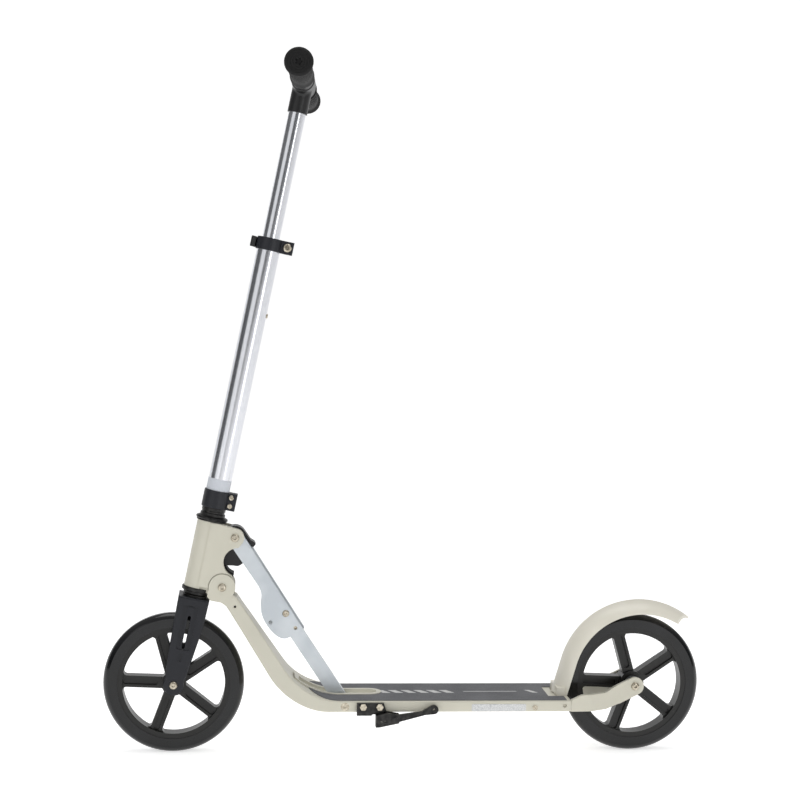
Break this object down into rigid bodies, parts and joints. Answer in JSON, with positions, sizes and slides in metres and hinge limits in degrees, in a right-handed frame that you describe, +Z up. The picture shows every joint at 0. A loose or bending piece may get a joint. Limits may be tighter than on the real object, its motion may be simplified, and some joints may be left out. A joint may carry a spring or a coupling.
{
  "type": "kick scooter",
  "caption": "Folding kick scooter: low deck with grip tape, knee strut at the head, telescopic column with T bar, large wheels, foot-pressed fender brake, side stand.",
  "frame": {"origin": "on the ground under the middle of the overall box, midway between the two axles", "axes": "+X to the rear, +Y to the rider's right, +Z up"},
  "size_m": [0.885, 0.3912, 1.0018],
  "materials": {
    "cream_paint": "satin, fine texture",
    "cream_plastic": "gloss",
    "grip_tape": "rough mineral grit",
    "reflective_film": "retroreflective",
    "black_paint": "satin",
    "black_metal": "black zinc",
    "bright_steel": "ground",
    "polished_aluminium": "polished and anodised",
    "light_grey_plastic": "satin",
    "cast_aluminium": "satin",
    "black_plastic": "satin",
    "black_rubber": "matt",
    "tyre": "semi-gloss polyurethane",
    "rim_plastic": "satin"
  },
  "bodies": {
    "frame": {"deck_frame": "cream_paint", "grip_tape": "grip_tape", "slot_trim": "cream_paint", "rear_arm_left": "cream_paint", "rear_arm_right": "cream_paint", "rear_arm_screws": "black_metal", "side_reflectors": "reflective_film", "fold_bolt": "black_metal", "foot_pins": "black_metal", "fender_pin": "bright_steel", "fender_spring": "bright_steel", "rear_axle": "black_metal", "rear_side_spacers": "bright_steel", "kickstand_bracket": "black_metal", "kickstand_bolts": "black_metal", "kickstand_pin": "black_metal"},
    "head": {"head_shell": "cream_paint", "head_buffer": "black_rubber", "strut_bolt": "black_metal", "lower_cup": "black_metal", "upper_cup": "black_metal", "headset_bearings": "bright_steel"},
    "column": {"fork": "black_paint", "steerer": "bright_steel", "crown_race": "black_metal", "headset_nut": "black_metal", "foot_clamp": "black_paint", "foot_clamp_bolts": "black_metal", "steerer_sleeve": "bright_steel", "lower_tube": "polished_aluminium", "tube_band": "light_grey_plastic", "height_clamp": "black_paint", "clamp_stud": "black_metal", "tube_bush": "light_grey_plastic", "front_axle": "black_metal", "front_side_spacers": "bright_steel"},
    "front_wheel": {"front_tyre": "tyre", "front_rim": "rim_plastic", "front_bearings": "bright_steel", "front_inner_spacer": "bright_steel"},
    "rear_wheel": {"rear_tyre": "tyre", "rear_rim": "rim_plastic", "rear_bearings": "bright_steel", "rear_inner_spacer": "bright_steel"},
    "upper_column": {"upper_tube": "polished_aluminium", "tee_piece": "polished_aluminium", "handlebar": "polished_aluminium", "bar_sleeves": "light_grey_plastic", "left_grip": "black_rubber", "right_grip": "black_rubber"},
    "quick_release": {"clamp_lever": "black_plastic"},
    "button": {"height_button": "bright_steel"},
    "strut": {"strut_upper": "cast_aluminium", "knee_bolt": "black_metal"},
    "strut_foot": {"strut_lower": "cast_aluminium"},
    "pin": {"lock_pin": "bright_steel"},
    "release": {"release_lever": "black_plastic"},
    "brake": {"brake_fender": "cream_plastic"},
    "stand": {"kickstand_leg": "black_metal"}
  },
  "joints": [
    {"name": "fold", "type": "hinge", "parent": "frame", "child": "head", "pos_m": [-0.27184, 0, 0.24511], "axis": [0, 1, 0], "range_deg": [0, 76]},
    {"name": "strut_top_swing", "type": "hinge", "parent": "head", "child": "strut", "pos_m": [-0.25401, 0, 0.31744], "axis": [0, 1, 0], "range_deg": [-125.2, 0]},
    {"name": "knee_swing", "type": "hinge", "parent": "strut", "child": "strut_foot", "pos_m": [-0.17829, 0, 0.20544], "axis": [0, 1, 0], "range_deg": [0, 94]},
    {"name": "steering", "type": "hinge", "parent": "head", "child": "column", "pos_m": [-0.29884, 0, 0.28806], "axis": [0.1908, 0, 0.9816], "continuous": true},
    {"name": "front_wheel_spin", "type": "hinge", "parent": "column", "child": "front_wheel", "pos_m": [-0.34, 0, 0.1025], "axis": [0, 1, 0], "continuous": true},
    {"name": "rear_wheel_spin", "type": "hinge", "parent": "frame", "child": "rear_wheel", "pos_m": [0.34, 0, 0.1025], "axis": [0, 1, 0], "continuous": true},
    {"name": "height_slide", "type": "slide", "parent": "column", "child": "upper_column", "axis": [0.1908, 0, 0.9816], "range_m": [-0.175, 0]},
    {"name": "clamp_lever_swing", "type": "hinge", "parent": "column", "child": "quick_release", "pos_m": [-0.18464, 0.0156, 0.7393], "axis": [0.1908, 0, 0.9816], "range_deg": [-120, 0]},
    {"name": "button_press", "type": "slide", "parent": "column", "child": "button", "axis": [-0.9816, 0, 0.1908], "range_m": [0, 0.0019], "stiffness_N_per_m": 1500, "springref_m": -0.002},
    {"name": "lock_pin_press", "type": "slide", "parent": "strut_foot", "child": "pin", "axis": [0, 1, 0], "range_m": [0, 0.0035], "stiffness_N_per_m": 1500, "springref_m": -0.002},
    {"name": "release_press", "type": "hinge", "parent": "strut", "child": "release", "pos_m": [-0.25401, 0, 0.31744], "axis": [0, 1, 0], "range_deg": [-10, 0], "stiffness_Nm_per_rad": 1.5, "springref_deg": 5.73},
    {"name": "brake_press", "type": "hinge", "parent": "frame", "child": "brake", "pos_m": [0.2305, 0, 0.079], "axis": [0, 1, 0], "range_deg": [0, 3.3], "stiffness_Nm_per_rad": 12, "springref_deg": -5.73},
    {"name": "stand_swing", "type": "hinge", "parent": "frame", "child": "stand", "pos_m": [-0.02, -0.0674, 0.062], "axis": [0, 1, 0], "range_deg": [0, 78]}
  ],
  "couplings": [
    {"joint": "strut_top_swing", "follows": "fold", "ratio": -1.6456},
    {"joint": "knee_swing", "follows": "fold", "ratio": 1.236}
  ]
}
